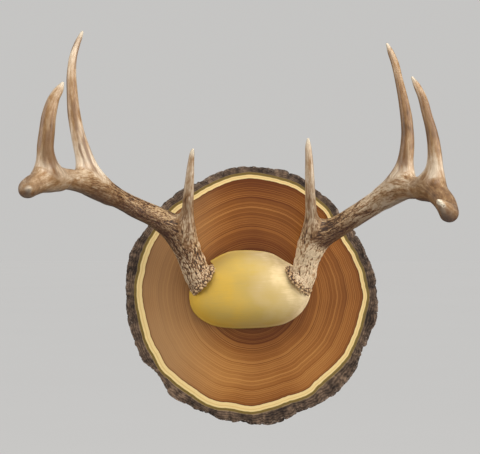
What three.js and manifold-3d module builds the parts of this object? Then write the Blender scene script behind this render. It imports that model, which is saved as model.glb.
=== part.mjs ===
// A pair of deer antlers on their skull plate, under a domed brass cover, on a live-edge slice of a tree trunk.
// Millimetres. +Z is up, +X is to the right as seen from the room, and the room is on the -Y side.
// The origin is the middle of the slice's sawn back, which hangs flat against the wall.

import * as THREE from "three";
import { mergeVertices } from "three/addons/utils/BufferGeometryUtils.js";
import Module from "manifold-3d";

const wasm = await Module();
wasm.setup();

// ---- Driving dimensions -------------------------------------------------------------------------------------------

const TOUCH_GAP = 0.3;

// The slice, bark included: its radius every 20 degrees, counted from +X towards +Z.
const SLICE_THICKNESS = 28;
const SLICE_CENTRE = [1, -1];
const SLICE_RADII = [148, 143, 144, 149, 154, 152, 149, 147, 148, 144, 145, 144, 147, 150, 153, 148, 149, 147];
const SLICE_SIDES = 72;

// The cover: a pressed sheet-metal dome. Its outline is a radius every 20 degrees, counted as the slice's are.
const COVER_RADII = [
  71.8, 63.5, 53.6, 50, 46.9, 47.5, 51.7, 56.6, 65.5,
  71.5, 72, 62.8, 52, 46.2, 45.6, 50.2, 59.1, 67.7,
];
const COVER_CENTRE_Z = 6.5;
const COVER_RIM_STANDOFF = 8;
const COVER_DEPTH = 41;
const COVER_SHEET = 1.5;
const COVER_CROWN_POWER = 3;
const COVER_CROWN_ROOT = 0.55;
const DOME_RINGS = 7;
const DOME_SIDES = 36;
// Each notch is a slot for a burr. It starts at a point, [x, z], just inside the burr and runs outwards along it.
const LEFT_NOTCH = { start: [-51.5, 16.6], away: [-0.78, 0.62] };
const RIGHT_NOTCH = { start: [54, 16.1], away: [0.78, 0.62] };
const NOTCH_HALF_WIDTH = 23;
const NOTCH_LENGTH = 60;

// The sawn skull plate fills the cover, and each pedicle leads from it to a burr.
const PLATE_MARGIN = 4;
const PLATE_CROWN_CLEARANCE = 8;
const PLATE_NOTCH_MARGIN = 2;
const LEFT_PEDICLE = [[-22, -46, -2, 14], [-37, -48, 7, 12], [-47, -49, 13, 11], [-53, -50.5, 18, 11]];
const RIGHT_PEDICLE = [[24, -46, -2, 14], [39, -48, 7, 12], [49, -48.5, 13, 11], [56, -49.5, 17.5, 10.5]];

// Pan-head wood screws: head radius and thickness, shank radius, length under the head. The flat of a head is a
// share of its radius, its rounded edge a share of its thickness, and the straight of a shank a share of its length.
const SCREW_FLAT_SHARE = 0.75;
const SCREW_EDGE_SHARE = 0.45;
const SCREW_STRAIGHT_SHARE = 0.86;
const SKULL_SCREW = { headRadius: 4.6, headHeight: 3, shankRadius: 2.2, length: 38 };
const SKULL_SCREW_HEAD_Y = -47;
const SKULL_SCREW_PLACES = [[-16, 22], [18, 22], [0, -16]];
const SCREW_HOLE_CLEARANCE = 0.4;
const SCREW_DRIVER_CLEARANCE = 1.2;

// The keyhole hanger is let into the back, near the top.
const HANGER_CENTRE_Z = 92;
const HANGER_WIDTH = 20;
const HANGER_HEIGHT = 52;
const HANGER_THICKNESS = 2;
const HANGER_RECESS = 4.2;
const KEYHOLE_RADIUS = 5.2;
const KEYHOLE_SLOT_WIDTH = 5.4;
const KEYHOLE_SLOT_LENGTH = 14;
const KEYHOLE_DROP = 5;
const HANGER_POCKET = [14, 10, 28];
const HANGER_SCREW = { headRadius: 2.9, headHeight: 1.3, shankRadius: 1.5, length: 14 };
const HANGER_SCREW_SPACING = 40;

// Antlers: each point is [x, y, z, radius] along the middle of a limb. A beam starts at the back of its burr, the
// ring of pearled bone round its base, and runs out and forward to its tip. A tine starts inside the beam.
const LIMB_SIDES = 12;
const BURR_LAST_POINT = 3;
const BEAM_RINGS_PER_SPAN = 2;
const TINE_RINGS_PER_SPAN = 1;
const LEFT_ANTLER = {
  beam: [
    [-52, -54.5, 17, 16], [-54.5, -54.5, 19, 22], [-58, -55, 22, 22.5], [-61.5, -56, 26, 16.5],
    [-67, -61, 40, 15.3], [-77, -67, 62, 15.2], [-89, -76, 79, 15], [-107, -89, 92.6, 12.6],
    [-129, -107, 103.4, 11.4], [-152, -132, 116.4, 11.1], [-173, -165, 126.7, 11.2], [-193, -220, 133, 11.3],
    [-209, -284, 128, 11], [-213, -322, 123, 10.4], [-212.5, -350, 119, 8.8], [-208, -374, 118, 5.4],
    [-204.5, -385, 119, 0],
  ],
  brow: [
    [-74, -76, 62, 9], [-72, -84, 78, 7.6], [-71, -92, 96, 6.7], [-70, -101, 116, 6.2],
    [-68, -109, 138, 5], [-66, -115, 157, 3.8], [-64.5, -118, 167, 2.4], [-63.5, -119, 171, 0],
  ],
  second: [
    [-173, -165, 129, 10.5], [-177, -173, 147, 9.8], [-182, -179, 165, 8.8], [-186, -183, 183, 7.8],
    [-190, -185, 205, 6.9], [-192, -185, 229, 5.9], [-193, -183, 249, 5], [-192, -179, 267, 4.3],
    [-188, -174, 283, 3.3], [-184, -170, 294, 2], [-182.5, -169, 298, 0],
  ],
  third: [
    [-207, -284, 128, 10], [-203.6, -291, 144, 9.2], [-203.4, -297, 160, 8.5], [-201.4, -301, 177, 8.1],
    [-198.6, -303, 196, 7.1], [-194, -301, 212, 5.6], [-188, -298, 223, 3.6], [-185.5, -296, 228.5, 0],
  ],
};
const RIGHT_ANTLER = {
  beam: [
    [54.5, -54.5, 16.5, 15.5], [57, -54.5, 18.5, 21.5], [60, -55, 21.5, 22], [63, -56, 25.5, 15.5],
    [66, -61, 38, 14], [72, -67, 54, 14], [83, -75, 70, 14.3], [102, -88, 82, 12.6],
    [122, -107, 95, 11.8], [143, -131, 109.4, 12.2], [162, -165, 121.4, 11.9], [180, -215, 123.6, 11.8],
    [192, -262, 119, 11.5], [198.2, -300, 107.4, 10.6], [198.6, -333, 96, 9.4], [192, -362, 98.6, 7.4],
    [184, -384, 104, 4.6], [180, -393, 107, 0],
  ],
  brow: [
    [66, -76, 62, 9], [70, -84, 78, 7.4], [71, -92, 96, 6.5], [70, -101, 118, 5.9],
    [69, -109, 141, 5.2], [68, -115, 162, 4.1], [67, -118, 177, 2.6], [67, -119, 183, 0],
  ],
  second: [
    [164, -176, 123, 10.5], [170, -183, 143, 9.3], [171.2, -188, 160, 7.9], [172.2, -191, 178, 7],
    [171, -192, 198, 6.2], [168, -191, 217, 5.5], [163.2, -188, 241, 4.5], [159, -183, 261, 4],
    [154, -178, 275, 2.8], [151, -175, 283, 0],
  ],
  third: [
    [194, -264, 120, 10.5], [192, -272, 140, 8.4], [190.8, -278, 158, 7], [187.8, -281, 177, 6],
    [183, -282, 195, 5.1], [178, -280, 214, 4.2], [172, -276, 228, 2.9], [168, -273, 236, 0],
  ],
};
// Each segment of a beam starts at one of its points, just past a tine, and ends where the next one starts.
const BEAM_SEGMENTS = [["beam_base", 0], ["beam_middle", 7], ["beam_upper", 11], ["beam_tip", 13]];

// Round bars and holes have this many sides, and a cutter that goes right through runs between these depths.
const ROUND_SIDES = 12;
const KEYHOLE_SIDES = 24;
const CUT_FROM = 10;
const CUT_TO = -200;

// ---- Materials ----------------------------------------------------------------------------------------------------

const material = (color, roughness, metalness) => new THREE.MeshStandardMaterial({ color, roughness, metalness });
const WOOD = material(0x9a6233, 0.4, 0);
const BONE = material(0xd9cbb0, 0.7, 0);
const BRASS = material(0xd0ac55, 0.35, 1);
const STEEL = material(0xb9b9bc, 0.35, 1);
const ANTLER = material(0x9b8468, 0.6, 0);
const TINE = material(0xc7b497, 0.5, 0);

// ---- Solids -------------------------------------------------------------------------------------------------------

// A closed geometry as a solid that can be joined and cut: only positions are kept, and shared corners are merged.
function solidOf(geometry) {
  const bare = geometry.clone();
  bare.deleteAttribute("normal");
  bare.deleteAttribute("uv");
  const merged = mergeVertices(bare, 1e-4);
  const mesh = new wasm.Mesh({
    numProp: 3,
    vertProperties: merged.attributes.position.array,
    triVerts: new Uint32Array(merged.index.array),
  });
  return new wasm.Manifold(mesh);
}

// A named mesh of a solid, flat-shaded as cut bone, wood and metal are at their edges.
function meshOf(name, solid, finish) {
  const { vertProperties, triVerts } = solid.getMesh();
  const geometry = new THREE.BufferGeometry();
  geometry.setAttribute("position", new THREE.BufferAttribute(new Float32Array(vertProperties), 3));
  geometry.setIndex(new THREE.BufferAttribute(new Uint32Array(triVerts), 1));
  const faceted = geometry.toNonIndexed();
  faceted.computeVertexNormals();
  const mesh = new THREE.Mesh(faceted, finish);
  mesh.name = name;
  return mesh;
}

// A round bar along Y, from one depth to another, at [x, z].
function barAlongY(radius, fromY, toY, [x, z], sides = ROUND_SIDES) {
  const bar = new THREE.CylinderGeometry(radius, radius, Math.abs(toY - fromY), sides);
  bar.translate(x, (fromY + toY) / 2, z);
  return solidOf(bar);
}

// An outline in the X-Z plane, pushed from one depth to a nearer one.
function slabOf(shape, fromY, toY) {
  const slab = new THREE.ExtrudeGeometry(shape, { depth: fromY - toY, bevelEnabled: false, curveSegments: 8 });
  slab.rotateX(Math.PI / 2);
  slab.translate(0, fromY, 0);
  return solidOf(slab);
}

// A slot with round ends, upright, centred on [0, z].
function uprightSlot(width, height, z) {
  const radius = width / 2;
  const reach = height / 2 - radius;
  const shape = new THREE.Shape();
  shape.absarc(0, z + reach, radius, 0, Math.PI, false);
  shape.absarc(0, z - reach, radius, Math.PI, 2 * Math.PI, false);
  return shape;
}

// ---- The antlers --------------------------------------------------------------------------------------------------

// A limb's centreline, and its radius as a second curve over the same places.
function limbCurves(points) {
  const centres = points.map(([x, y, z]) => new THREE.Vector3(x, y, z));
  const radii = points.map((point, i) => new THREE.Vector2(i, point[3]));
  return { line: new THREE.CatmullRomCurve3(centres), thickness: new THREE.SplineCurve(radii) };
}

// The tube of a limb from one of its points to another, with flat ends where it isn't pointed.
// Trim shortens those ends, and grow thickens the tube.
function tube(points, from, to, ringsPerSpan, { trim = 0, grow = 0 } = {}) {
  const { line, thickness } = limbCurves(points);
  const last = points.length - 1;
  const rings = (to - from) * ringsPerSpan;
  const profile = [new THREE.Vector2(0, 0)];
  for (let ring = 0; ring <= rings; ring++) {
    const radius = thickness.getPoint((from + ring / ringsPerSpan) / last).y;
    if (radius > 0) profile.push(new THREE.Vector2(radius + grow, ring));
  }
  profile.push(new THREE.Vector2(0, rings));
  const limb = new THREE.LatheGeometry(profile, LIMB_SIDES);
  const position = limb.attributes.position;
  const aside = new THREE.Vector3(1, 0, 0);
  for (let i = 0; i < position.count; i++) {
    const ring = Math.round(position.getY(i));
    const along = (from + ring / ringsPerSpan) / last;
    const tangent = line.getTangent(along);
    const across = aside.clone().addScaledVector(tangent, -aside.dot(tangent)).normalize();
    const up = across.clone().cross(tangent);
    const shift = ring === 0 ? trim : ring === rings ? -trim : 0;
    const place = line.getPoint(along).addScaledVector(tangent, shift);
    place.addScaledVector(across, position.getX(i)).addScaledVector(up, position.getZ(i));
    position.setXYZ(i, place.x, place.y, place.z);
  }
  return solidOf(limb);
}

// One antler: its beam in four segments, and its tines cut back from the beam that they grow out of.
function antler(side, { beam, ...tines }) {
  const group = new THREE.Group();
  const last = beam.length - 1;
  BEAM_SEGMENTS.forEach(([name, from], i) => {
    const to = BEAM_SEGMENTS[i + 1]?.[1] ?? last;
    const segment = tube(beam, from, to, BEAM_RINGS_PER_SPAN, { trim: TOUCH_GAP / 2 });
    group.add(meshOf(`${side}_${name}`, segment, ANTLER));
  });
  const clearance = tube(beam, 0, last, BEAM_RINGS_PER_SPAN, { grow: TOUCH_GAP });
  for (const [name, points] of Object.entries(tines)) {
    const tine = tube(points, 0, points.length - 1, TINE_RINGS_PER_SPAN).subtract(clearance);
    group.add(meshOf(`${side}_${name}_tine`, tine, TINE));
  }
  return group;
}

// ---- The cover and the skull plate --------------------------------------------------------------------------------

// The cover's radius at any angle, on a smooth curve through the radii above.
function coverRadius(angle) {
  const count = COVER_RADII.length;
  const turn = (angle / (2 * Math.PI) + 1) * count;
  const index = Math.floor(turn);
  const nearby = [-1, 0, 1, 2].map((step) => new THREE.Vector2(step, COVER_RADII[(index + step) % count]));
  return new THREE.SplineCurve(nearby).getPoint((1 + turn - index) / 3).y;
}

// A dome that rises towards the room from a rim at rimY, inset from the cover's outline. Its skirt, if it has one,
// carries the outline back behind the rim.
function dome(inset, depth, rimY, skirt) {
  const profile = [new THREE.Vector2(0, -skirt)];
  if (skirt) profile.push(new THREE.Vector2(1, -skirt));
  for (let i = DOME_RINGS; i >= 0; i--) {
    const reach = Math.sin((i / DOME_RINGS) * Math.PI / 2);
    const height = depth * Math.max(1 - reach ** COVER_CROWN_POWER, 0) ** COVER_CROWN_ROOT;
    profile.push(new THREE.Vector2(reach, height));
  }
  const crown = new THREE.LatheGeometry(profile, DOME_SIDES);
  const position = crown.attributes.position;
  for (let i = 0; i < position.count; i++) {
    const [x, z] = [position.getX(i), -position.getZ(i)];
    const radius = coverRadius(Math.atan2(z, x)) - inset;
    position.setXYZ(i, radius * x, rimY - position.getY(i), COVER_CENTRE_Z + radius * z);
  }
  return solidOf(crown);
}

// The square cutter that makes a notch, brought closer to the cover's middle by a margin.
function notchCutter({ start, away }, margin) {
  const [[x, z], [awayX, awayZ]] = [start, away];
  const corner = (along, aside) =>
    new THREE.Vector2(x + along * awayX - aside * awayZ, z + along * awayZ + aside * awayX);
  const half = NOTCH_HALF_WIDTH + margin;
  const near = [corner(-margin, half), corner(-margin, -half)];
  const far = [corner(NOTCH_LENGTH, -half), corner(NOTCH_LENGTH, half)];
  return slabOf(new THREE.Shape([...near, ...far]), 0, CUT_TO);
}

const SLICE_FRONT_Y = -SLICE_THICKNESS;
const COVER_RIM_Y = SLICE_FRONT_Y - COVER_RIM_STANDOFF;

function skullCover() {
  const outside = dome(0, COVER_DEPTH, COVER_RIM_Y, 0);
  const inside = dome(COVER_SHEET, COVER_DEPTH - COVER_SHEET, COVER_RIM_Y, COVER_SHEET);
  return outside.subtract(inside).subtract(notchCutter(LEFT_NOTCH, 0)).subtract(notchCutter(RIGHT_NOTCH, 0));
}

// The bone is sawn flat against the wood, and drilled and counterbored for its screws.
function skullPlate() {
  const backY = SLICE_FRONT_Y - TOUCH_GAP;
  const depth = COVER_DEPTH + COVER_RIM_STANDOFF - TOUCH_GAP - PLATE_CROWN_CLEARANCE;
  let bone = dome(PLATE_MARGIN, depth, backY, 0);
  bone = bone.subtract(notchCutter(LEFT_NOTCH, PLATE_NOTCH_MARGIN));
  bone = bone.subtract(notchCutter(RIGHT_NOTCH, PLATE_NOTCH_MARGIN));
  for (const [pedicle, { beam }] of [[LEFT_PEDICLE, LEFT_ANTLER], [RIGHT_PEDICLE, RIGHT_ANTLER]]) {
    const burr = tube(beam, 0, BURR_LAST_POINT, BEAM_RINGS_PER_SPAN, { trim: -TOUCH_GAP, grow: TOUCH_GAP });
    bone = bone.add(tube(pedicle, 0, pedicle.length - 1, TINE_RINGS_PER_SPAN)).subtract(burr);
  }
  for (const place of SKULL_SCREW_PLACES) {
    const { headRadius, shankRadius } = SKULL_SCREW;
    const seatY = SKULL_SCREW_HEAD_Y + TOUCH_GAP;
    bone = bone.subtract(barAlongY(headRadius + SCREW_DRIVER_CLEARANCE, seatY, CUT_TO, place));
    bone = bone.subtract(barAlongY(shankRadius + SCREW_HOLE_CLEARANCE, 0, CUT_TO, place));
  }
  return bone;
}

// ---- Screws, hanger and slice -------------------------------------------------------------------------------------

// A pan-head screw along Y. Its head starts at headY and its point lies further along `into`, +1 or -1.
function screw({ headRadius, headHeight, shankRadius, length }, headY, into, [x, z]) {
  const profile = [
    [0, 0], [headRadius * SCREW_FLAT_SHARE, 0], [headRadius, headHeight * SCREW_EDGE_SHARE],
    [headRadius, headHeight], [shankRadius, headHeight],
    [shankRadius, headHeight + length * SCREW_STRAIGHT_SHARE], [0, headHeight + length],
  ];
  const turned = new THREE.LatheGeometry(profile.map(([r, y]) => new THREE.Vector2(r, y)), ROUND_SIDES);
  if (into < 0) turned.rotateX(Math.PI);
  turned.translate(x, headY, z);
  return solidOf(turned);
}

// The heads of the skull screws face the room, and those of the hanger screws face the wall.
const skullScrews = SKULL_SCREW_PLACES.map((place) =>
  screw(SKULL_SCREW, SKULL_SCREW_HEAD_Y - SKULL_SCREW.headHeight, 1, place));
const hangerScrewPlaces = [1, -1].map((end) => [0, HANGER_CENTRE_Z + end * HANGER_SCREW_SPACING / 2]);
const HANGER_FACE_Y = -HANGER_RECESS + TOUCH_GAP + HANGER_THICKNESS;
const HANGER_HEAD_Y = HANGER_FACE_Y + TOUCH_GAP + HANGER_SCREW.headHeight;
const hangerScrews = hangerScrewPlaces.map((place) => screw(HANGER_SCREW, HANGER_HEAD_Y, -1, place));

function hangerPlate() {
  const outline = uprightSlot(HANGER_WIDTH - 2 * TOUCH_GAP, HANGER_HEIGHT - 2 * TOUCH_GAP, HANGER_CENTRE_Z);
  const backY = HANGER_FACE_Y - HANGER_THICKNESS;
  const entryZ = HANGER_CENTRE_Z - KEYHOLE_DROP;
  const slotShape = uprightSlot(KEYHOLE_SLOT_WIDTH, KEYHOLE_SLOT_LENGTH, entryZ + KEYHOLE_SLOT_LENGTH / 2);
  let plate = slabOf(outline, HANGER_FACE_Y, backY);
  plate = plate.subtract(barAlongY(KEYHOLE_RADIUS, CUT_FROM, CUT_TO, [0, entryZ], KEYHOLE_SIDES));
  plate = plate.subtract(slabOf(slotShape, CUT_FROM, CUT_TO));
  for (const place of hangerScrewPlaces) {
    plate = plate.subtract(barAlongY(HANGER_SCREW.shankRadius + SCREW_HOLE_CLEARANCE, CUT_FROM, CUT_TO, place));
  }
  return plate;
}

function woodSlice() {
  const rim = SLICE_RADII.map((radius, i) => {
    const angle = (i / SLICE_RADII.length) * 2 * Math.PI;
    return new THREE.Vector3(radius * Math.cos(angle), radius * Math.sin(angle), 0);
  });
  const outline = new THREE.CatmullRomCurve3(rim, true).getSpacedPoints(SLICE_SIDES).slice(0, -1);
  const shape = new THREE.Shape(outline.map(({ x, y }) => new THREE.Vector2(x + SLICE_CENTRE[0], y + SLICE_CENTRE[1])));
  let slice = slabOf(shape, 0, SLICE_FRONT_Y);
  const recess = uprightSlot(HANGER_WIDTH, HANGER_HEIGHT, HANGER_CENTRE_Z);
  slice = slice.subtract(slabOf(recess, CUT_FROM, -HANGER_RECESS));
  const [pocketWidth, pocketDepth, pocketHeight] = HANGER_POCKET;
  const pocket = new THREE.BoxGeometry(pocketWidth, pocketDepth + CUT_FROM, pocketHeight);
  pocket.translate(0, (CUT_FROM - pocketDepth) / 2 - HANGER_RECESS, HANGER_CENTRE_Z);
  slice = slice.subtract(solidOf(pocket));
  const tips = SKULL_SCREW_HEAD_Y + SKULL_SCREW.length + TOUCH_GAP;
  for (const place of SKULL_SCREW_PLACES) {
    slice = slice.subtract(barAlongY(SKULL_SCREW.shankRadius + SCREW_HOLE_CLEARANCE, tips, CUT_TO, place));
  }
  for (const place of hangerScrewPlaces) {
    const depth = HANGER_FACE_Y - HANGER_SCREW.length;
    slice = slice.subtract(barAlongY(HANGER_SCREW.shankRadius + SCREW_HOLE_CLEARANCE, 0, depth, place));
  }
  return slice;
}

// ---- The whole mount ----------------------------------------------------------------------------------------------

const mount = new THREE.Group();
mount.add(meshOf("wood_slice", woodSlice(), WOOD));
mount.add(meshOf("hanger_plate", hangerPlate(), STEEL));
hangerScrews.forEach((solid, i) => mount.add(meshOf(`hanger_screw_${i + 1}`, solid, STEEL)));
mount.add(meshOf("skull_plate", skullPlate(), BONE));
skullScrews.forEach((solid, i) => mount.add(meshOf(`skull_screw_${i + 1}`, solid, STEEL)));
mount.add(meshOf("skull_cover", skullCover(), BRASS));
mount.add(antler("left", LEFT_ANTLER));
mount.add(antler("right", RIGHT_ANTLER));

export default mount;
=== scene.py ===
import math

import bmesh
import bpy
import numpy as np
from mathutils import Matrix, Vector


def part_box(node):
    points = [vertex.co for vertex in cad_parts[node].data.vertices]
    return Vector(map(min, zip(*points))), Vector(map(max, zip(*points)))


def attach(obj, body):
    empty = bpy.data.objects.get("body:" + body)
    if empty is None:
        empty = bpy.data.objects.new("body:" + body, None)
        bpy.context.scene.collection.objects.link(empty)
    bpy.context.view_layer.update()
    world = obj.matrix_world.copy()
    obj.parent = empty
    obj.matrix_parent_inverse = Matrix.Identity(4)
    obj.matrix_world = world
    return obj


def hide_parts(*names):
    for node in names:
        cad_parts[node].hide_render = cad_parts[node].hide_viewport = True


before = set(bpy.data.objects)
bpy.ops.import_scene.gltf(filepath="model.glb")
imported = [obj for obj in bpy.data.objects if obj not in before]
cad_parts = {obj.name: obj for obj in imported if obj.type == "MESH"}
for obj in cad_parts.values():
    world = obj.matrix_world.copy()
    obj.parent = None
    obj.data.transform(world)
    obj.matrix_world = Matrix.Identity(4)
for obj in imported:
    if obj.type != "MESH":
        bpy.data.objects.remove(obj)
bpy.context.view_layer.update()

# ==== The slice's wood ====
# The plaque is a cross-cut of a trunk, dried, sanded and lacquered in front and left as sawn behind. Its
# heartwood is orange brown with close growth rings, and a thin cream ring of sapwood runs round it, inside
# an olive inner bark.

MM = 0.001
TURN = 2 * math.pi

slice_low, slice_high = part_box("wood_slice")
FRONT = slice_low.y / MM
BACK = slice_high.y / MM
SLICE_CENTRE = np.array([1.0, -1.0])
PITH = np.array([4.0, -3.0])
# The heartwood's edge, in mm from the slice's centre, every 10 degrees from +X towards +Z.
HEARTWOOD_EDGE = [134, 132, 130, 128, 130, 133, 137, 139, 140, 141, 140, 136, 133, 134, 134, 133, 132, 131,
                  131, 129, 129, 130, 131, 131, 131, 133, 131, 133, 130, 128, 130, 128, 130, 131, 131, 131]
SAPWOOD_WIDTH = 5.5
SAPWOOD_THIN_SIDE = math.radians(50)
SAPWOOD_VARIATION = 1.7
INNER_BARK_WIDTH = 3.0
EDGE_WAVES = 1.5
SLICE_STEPS = 540


def around(radii, angle):
    """The radius at any angle of a smooth closed outline through evenly spaced radii."""
    radii = np.array(radii, float)
    count = len(radii)
    turn = angle / TURN * count
    index = np.floor(turn).astype(int)
    t = turn - index
    a, b, c, d = (radii[(index + shift) % count] for shift in (-1, 0, 1, 2))
    return b + t / 2 * (c - a + t * (2 * a - 5 * b + 4 * c - d + t * (3 * (b - c) + d - a)))


def lattice_noise(points, seed):
    """Smooth random values from 0 to 1 at 3-D points, one random number at each whole-number corner."""
    base = np.floor(points).astype(np.int64)
    t = points - base
    t = t * t * (3 - 2 * t)
    total = np.zeros(len(points))
    for corner in np.ndindex(2, 2, 2):
        weight = np.prod(np.where(corner, t, 1 - t), axis=1)
        total += weight * scatter(base + corner, seed)
    return total


# Large odd numbers that scatter what they multiply.
AXIS_FACTORS, SEED_FACTOR = (73856093, 19349663, 83492791), 2654435761
MIXING = ((13, 1274126177), (16, 2246822519))


def scatter(cells, seed):
    """One random number from 0 to 1 for each whole-number cell."""
    mixed = seed * SEED_FACTOR
    for axis, factor in enumerate(AXIS_FACTORS):
        mixed = mixed ^ (cells[:, axis] * factor)
    for shift, factor in MIXING:
        mixed = (mixed ^ (mixed >> shift)) * factor & 0xFFFFFFFF
    return ((mixed ^ (mixed >> 15)) & 0xFFFFFF) / 0xFFFFFF


def rough(points, seed, octaves=3):
    """Lattice noise in a few octaves, from -1 to 1."""
    total = sum(0.5 ** k * (lattice_noise(points * 2 ** k, seed + k) - 0.5) for k in range(octaves))
    return 2 * total / sum(0.5 ** k for k in range(octaves))


def cells(points, seed):
    """Distances to the nearest and second nearest of the points scattered one to a cell."""
    base = np.floor(points).astype(np.int64)
    near = np.full(len(points), 9.0)
    second = near.copy()
    for step in np.ndindex(3, 3, 3):
        cell = base + np.array(step) - 1
        spot = cell + np.stack([scatter(cell, seed + k) for k in range(3)], axis=1)
        away = np.linalg.norm(points - spot, axis=1)
        second = np.minimum(second, np.maximum(near, away))
        near = np.minimum(near, away)
    return near, second


def smooth_step(low, high, value):
    t = np.clip((value - low) / (high - low), 0, 1)
    return t * t * (3 - 2 * t)


def placed(name, data):
    """Puts a mesh, a curve, a lamp or a camera into the scene."""
    thing = bpy.data.objects.new(name, data)
    bpy.context.scene.collection.objects.link(thing)
    return thing


def piece_from(name, points, faces, marks=None, smooth=True):
    """A piece from points in mm, with a number on each point for each mark that its finish reads."""
    mesh = bpy.data.meshes.new(name)
    mesh.from_pydata((np.asarray(points) * MM).tolist(), [], faces)
    for mark, values in (marks or {}).items():
        mesh.attributes.new(mark, "FLOAT", "POINT").data.foreach_set("value", np.asarray(values, np.float32))
    mesh.shade_smooth() if smooth else mesh.shade_flat()
    return placed(name, mesh)


def loops_to_faces(sizes, closed=False):
    """Faces that join loops of points one after another. A loop of one point is the middle of a fan."""
    starts = np.concatenate([[0], np.cumsum(sizes)])
    faces = []
    pairs = list(zip(range(len(sizes) - 1), range(1, len(sizes))))
    if closed:
        pairs.append((len(sizes) - 1, 0))
    for one, other in pairs:
        count = max(sizes[one], sizes[other])
        for i in range(count):
            j = (i + 1) % count
            near = [starts[one] + i % sizes[one], starts[one] + j % sizes[one]]
            far = [starts[other] + j % sizes[other], starts[other] + i % sizes[other]]
            faces.append([int(v) for v in dict.fromkeys(near + far)])
    return faces


def lofted(name, loops, marks=None, closed=False, smooth=True):
    """A piece whose skin joins loops of points one after another."""
    faces = loops_to_faces([len(loop) for loop in loops], closed)
    return piece_from(name, np.concatenate(loops), faces, marks, smooth)


slice_angles = np.arange(SLICE_STEPS) / SLICE_STEPS * TURN
slice_ring = 130 * np.stack([np.cos(slice_angles), np.sin(slice_angles), np.zeros(SLICE_STEPS)], axis=1)
heartwood_edge = around(HEARTWOOD_EDGE, slice_angles) + EDGE_WAVES * rough(slice_ring / 14, 2)
sapwood = SAPWOOD_WIDTH - SAPWOOD_VARIATION * np.cos(slice_angles - SAPWOOD_THIN_SIDE)
growth_edges = [heartwood_edge, heartwood_edge + sapwood, heartwood_edge + sapwood + INNER_BARK_WIDTH]


def growth_line(growth, depth):
    """The loop of wood of one age: 0 is the pith, 1 to 3 the edges of heartwood, sapwood and inner bark."""
    if growth > 1:
        low = min(int(growth), 2)
        radius = growth_edges[low - 1] + (growth_edges[low] - growth_edges[low - 1]) * (growth - low)
    else:
        rounder = 1 - growth ** 1.6
        radius = growth * (heartwood_edge.mean() * rounder + heartwood_edge * (1 - rounder))
    middle = SLICE_CENTRE + (PITH - SLICE_CENTRE) * max(0, 1 - growth)
    across = middle[0] + radius * np.cos(slice_angles)
    upward = middle[1] + radius * np.sin(slice_angles)
    return np.stack([across, np.full(SLICE_STEPS, depth), upward], axis=1)


growths = list(np.linspace(0, 1, 29)[1:]) + [1.5, 2.0, 2.5, 3.0]
pith = np.array([[PITH[0], 0, PITH[1]]])
front_loops = [pith + [0, FRONT, 0]] + [growth_line(g, FRONT) for g in growths]
back_loops = [growth_line(g, BACK) for g in reversed(growths)] + [pith]
wood_loops = front_loops + back_loops
growth_marks = [0.0] + growths + growths[::-1] + [0.0]
sawn_marks = [0.0] * len(front_loops) + [1.0] * len(back_loops)
sizes = [len(loop) for loop in wood_loops]
wood_marks = {"growth": np.repeat(growth_marks, sizes), "sawn": np.repeat(sawn_marks, sizes)}
wood = lofted("slice_wood", wood_loops, wood_marks, smooth=False)


def finished_mesh(thing):
    """A new mesh of a thing as its modifiers leave it."""
    return bpy.data.meshes.new_from_object(thing.evaluated_get(bpy.context.evaluated_depsgraph_get()))


def cut_away(piece, cutters):
    """Cuts solids out of a piece, as a router or a drill does, and removes them."""
    for cutter in cutters:
        cut = piece.modifiers.new("cut", "BOOLEAN")
        cut.operation, cut.solver, cut.object = "DIFFERENCE", "EXACT", cutter
    shaped = finished_mesh(piece)
    piece.modifiers.clear()
    piece.data = shaped
    for cutter in cutters:
        bpy.data.objects.remove(cutter)


def upright_bar(name, outline, from_y, to_y):
    """A bar along Y whose outline is a loop of [x, z] points."""
    count = len(outline)
    near = [[x, from_y, z] for x, z in outline]
    far = [[x, to_y, z] for x, z in outline]
    sides = [[i, (i + 1) % count, count + (i + 1) % count, count + i] for i in range(count)]
    caps = [list(range(count))[::-1], list(range(count, 2 * count))]
    return piece_from(name, near + far, sides + caps, smooth=False)


ROUND_STEPS = 16


def round_ended(width, height, middle_z):
    """The outline of an upright slot with round ends. Equal sides make a circle."""
    radius, reach = width / 2, (height - width) / 2
    angles = [i / ROUND_STEPS * math.pi for i in range(ROUND_STEPS + 1)]
    top = [[radius * math.cos(a), middle_z + reach + radius * math.sin(a)] for a in angles]
    bottom = [[-x, 2 * middle_z - z] for x, z in top]
    return top + bottom if reach else top[:-1] + bottom[:-1]


hanger_low, hanger_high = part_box("hanger_plate")
HANGER_Z = (hanger_low.z + hanger_high.z) / 2 / MM
HANGER_WIDTH = (hanger_high.x - hanger_low.x) / MM
HANGER_HEIGHT = (hanger_high.z - hanger_low.z) / MM
RECESS_CLEARANCE = 0.6
RECESS_DEPTH = 4.2
POCKET_WIDTH, POCKET_DEPTH, POCKET_HEIGHT = 14, 10, 28
CUTTER_START = 5
recess = upright_bar(
    "recess_cutter", round_ended(HANGER_WIDTH + RECESS_CLEARANCE, HANGER_HEIGHT + RECESS_CLEARANCE, HANGER_Z),
    CUTTER_START, -RECESS_DEPTH)
pocket = upright_bar(
    "pocket_cutter", round_ended(POCKET_WIDTH, POCKET_HEIGHT, HANGER_Z),
    CUTTER_START, -RECESS_DEPTH - POCKET_DEPTH)
cut_away(wood, [recess, pocket])


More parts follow.
